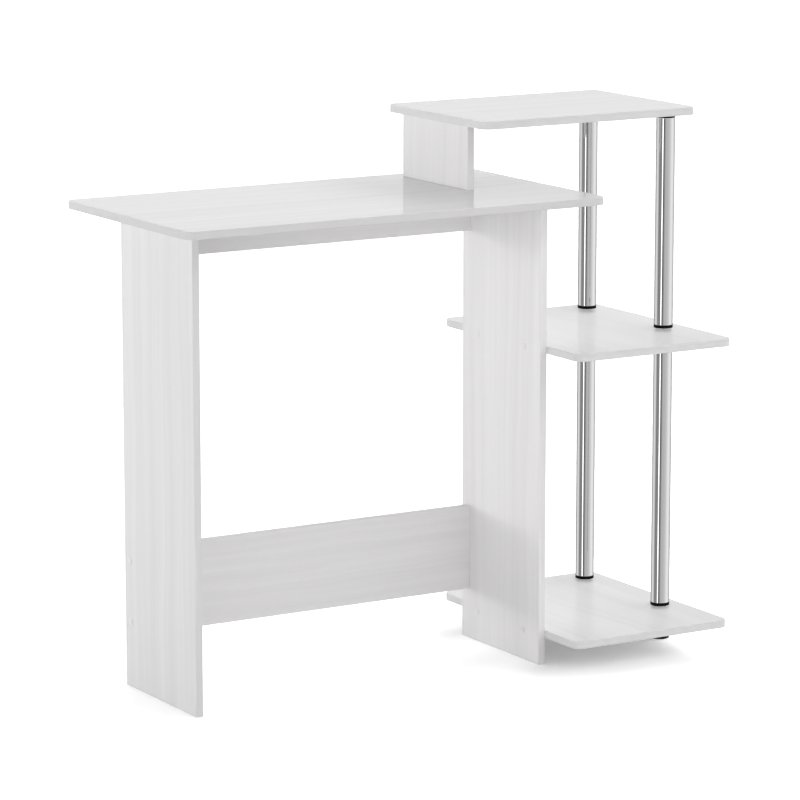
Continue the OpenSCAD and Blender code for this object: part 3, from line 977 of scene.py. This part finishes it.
class Band(Enum):
    """Stretch of the studio's walls: the rises where it comes in and goes out, 1 overhead."""

    LOW = ((-0.03, -0.01), (0.08, 0.20))
    MIDDLE = ((0.08, 0.20), (0.30, 0.45))
    HIGH = ((0.30, 0.45), (0.60, 0.85))

    def mask(self, sheet: ShaderSheet, rise: Value) -> bpy.types.NodeSocket:
        """Returns how far a direction with that rise lies in the band, from 0 to 1."""
        come_in, go_out = self.value
        return sheet.math("SUBTRACT", sheet.step(rise, come_in), sheet.step(rise, go_out))


@dataclass(frozen=True)
class WallGlow:
    """One softly lit stretch of the studio's walls.

    Attributes:
        bearing: Degrees from straight behind the desk, clockwise seen from above.
        level: Brightness at its middle, where 1 is white.
        band: How high it lies.
        focus: How quickly it fades to the sides.
    """

    bearing: float
    level: float
    band: Band = Band.LOW
    focus: float = 4.0

    def way(self) -> Triple:
        """Returns the horizontal direction towards it."""
        turn = math.radians(self.bearing)
        return (math.sin(turn), math.cos(turn), 0.0)


@dataclass
class Studio:
    """White floor, white surroundings and softly lit walls.

    Attributes:
        front_turn: Degrees that the photograph's camera looks to the right of straight ahead.
        floor_size: Half the floor's width, in metres.
        floor_colour: Colour of the floor to the camera, above 1 so that only deep shadow is left.
        floor_bounce: Colour of the floor to everything else.
        floor_lift: Light of its own that the floor shows the camera alone, where 1 is white.
        backdrop_glare: What glossy faces mirror above the metal's bands, where 1 is white.
        glare_edge: Rises of a direction between which it takes over from the bands.
    """

    front_turn: float
    floor_size: float = 30.0
    floor_colour: Colour = grey(1.5)
    floor_bounce: Colour = grey(0.76)
    floor_lift: float = 0.10
    backdrop_glare: float = 1.05
    glare_edge: Pair = (0.02, 0.12)

    GLOWS = (
        WallGlow(bearing=0.0, level=2.76),
        WallGlow(bearing=90.0, level=1.88),
        WallGlow(bearing=225.0, level=5.76),
        WallGlow(bearing=270.0, level=2.28),
        WallGlow(bearing=315.0, level=1.64),
        WallGlow(bearing=120.0, level=0.86, band=Band.MIDDLE),
        WallGlow(bearing=0.0, level=1.08, band=Band.HIGH, focus=2.0),
        WallGlow(bearing=90.0, level=3.34, band=Band.HIGH, focus=2.0),
        WallGlow(bearing=180.0, level=0.40, band=Band.HIGH, focus=2.0),
    )
    LAMPS = (
        Softbox(
            "left back softbox", place=(-0.85, 0.65, 0.40), aim=(-0.42, 0.0, 0.40),
            size=(0.35, 0.65), power=1.0,
        ),
    )
    # Bands that metal mirrors: degrees to the right of the photograph's camera, and brightness.
    METAL_BANDS = (
        (-180.0, 0.20), (-155.0, 0.28), (-141.0, 0.38), (-122.0, 0.78), (-110.0, 0.88),
        (-92.0, 0.72), (-84.0, 0.42), (-76.0, 0.23), (-62.0, 0.28), (-50.0, 0.28),
        (-40.5, 0.20), (-38.0, 2.60), (-31.0, 2.60), (-28.5, 0.13), (-16.0, 0.15),
        (-7.0, 0.35), (7.0, 0.58), (20.0, 0.53), (32.0, 0.60), (46.0, 0.64),
        (60.0, 0.75), (75.0, 0.92), (92.0, 0.99), (113.0, 0.92), (130.0, 0.60),
        (141.0, 0.40), (160.0, 0.25),
    )

    def build(self) -> None:
        """Makes the floor, the world and the lamps."""
        self._floor()
        self._world()
        for lamp in self.LAMPS:
            lamp.build()

    def _floor(self) -> None:
        """Makes the floor, which seems white and still keeps the shadow of the desk."""
        shape = bmesh.new()
        bmesh.ops.create_grid(shape, x_segments=1, y_segments=1, size=self.floor_size)
        floor = new_object("floor", shape, self._floor_finish())
        floor.visible_glossy = False

    def _floor_finish(self) -> bpy.types.Material:
        """Returns the floor's finish, which is clear from below."""
        material = bpy.data.materials.new("floor")
        material.use_nodes = True
        sheet = ShaderSheet(material.node_tree)
        seen = sheet.add("ShaderNodeLightPath").outputs["Is Camera Ray"]
        colour = sheet.blend(seen, self.floor_bounce, self.floor_colour)
        paint = sheet.add("ShaderNodeBsdfDiffuse", {"Color": colour})
        lift = sheet.math("MULTIPLY", seen, self.floor_lift)
        glow = sheet.add("ShaderNodeEmission", {"Color": grey(1.0), "Strength": lift})
        lit = sheet.add("ShaderNodeAddShader", {0: paint.outputs[0], 1: glow.outputs[0]})
        clear = sheet.add("ShaderNodeBsdfTransparent")
        below = sheet.add("ShaderNodeNewGeometry").outputs["Backfacing"]
        side = sheet.add("ShaderNodeMixShader", {0: below, 1: lit.outputs[0], 2: clear.outputs[0]})
        sheet.add("ShaderNodeOutputMaterial", {"Surface": side.outputs[0]})
        return material

    def _world(self) -> None:
        """Makes the surroundings: white to the camera, banded where metal mirrors them."""
        world = bpy.data.worlds.new("studio")
        bpy.context.scene.world = world
        world.use_nodes = True
        sheet = ShaderSheet(world.node_tree)
        way = sheet.add("ShaderNodeTexCoord").outputs["Generated"]
        rise = sheet.parts(way)["Z"]
        mirrored = sheet.blend(
            sheet.step(rise, self.glare_edge), self._metal_bands(sheet, way), grey(self.backdrop_glare)
        )
        path = sheet.add("ShaderNodeLightPath").outputs
        soft = sheet.blend(path["Is Glossy Ray"], self._glow(sheet, way, rise), mirrored)
        straight = sheet.math("MAXIMUM", path["Is Camera Ray"], path["Is Transmission Ray"])
        seen = sheet.blend(straight, soft, grey(1.0))
        ground = sheet.add("ShaderNodeBackground", {"Color": seen, "Strength": 1.0})
        sheet.add("ShaderNodeOutputWorld", {"Surface": ground.outputs[0]})

    def _metal_bands(self, sheet: ShaderSheet, way: Value) -> bpy.types.NodeSocket:
        """Returns the ring of light and dark bands that metal mirrors in a direction."""
        turn = math.radians(self.front_turn)
        front = sheet.lean(way, (-math.sin(turn), -math.cos(turn), 0.0))
        right = sheet.lean(way, (math.cos(turn), -math.sin(turn), 0.0))
        angle = sheet.math("ARCTAN2", right, front)
        inputs = {"Value": angle, "From Min": -math.pi, "From Max": math.pi}
        share = sheet.add("ShaderNodeMapRange", inputs).outputs["Result"]
        ring = sheet.add("ShaderNodeValToRGB", {"Fac": share})
        stops = ring.color_ramp.elements
        while len(stops) < len(self.METAL_BANDS):
            stops.new(0.5)
        for stop, (degrees, level) in zip(stops, self.METAL_BANDS):
            stop.position = (degrees + 180.0) / 360.0
            stop.color = grey(level)
        return ring.outputs["Color"]

    def _glow(self, sheet: ShaderSheet, way: Value, rise: Value) -> bpy.types.NodeSocket:
        """Adds up the light that the walls send.

        Args:
            sheet: Sheet of the world.
            way: Direction that is looked in.
            rise: Its rise, from 0 on the horizon to 1 overhead.

        Returns:
            The brightness.
        """
        masks = {band: band.mask(sheet, rise) for band in Band}
        level_way = sheet.vector_math("NORMALIZE", sheet.scaled(way, (1.0, 1.0, 0.0)))
        total = 0.0
        for glow in self.GLOWS:
            lean = sheet.lean(level_way, glow.way())
            spread = sheet.math("POWER", sheet.math("MULTIPLY_ADD", lean, 0.5, 0.5), glow.focus)
            shape = sheet.math("MULTIPLY", spread, masks[glow.band])
            total = sheet.math("MULTIPLY_ADD", shape, glow.level, total)
        return total


def main() -> None:
    """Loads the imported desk, dresses it and sets up the studio."""
    logging.basicConfig(level=logging.INFO, format="%(name)s: %(message)s")
    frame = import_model()
    bpy.context.scene.view_settings.view_transform = "Standard"
    groups = SharedGroups()
    camera = PhotoCamera()
    camera.build()
    Studio(front_turn=camera.turn).build()
    nodes = frame["nodes"]
    for part in (Boards(groups, nodes), Tubes(groups, nodes), Fittings(groups, nodes)):
        for name in part.build():
            LOG.info("%s: %s", type(part).__name__, name)


if __name__ == "__main__":
    main()
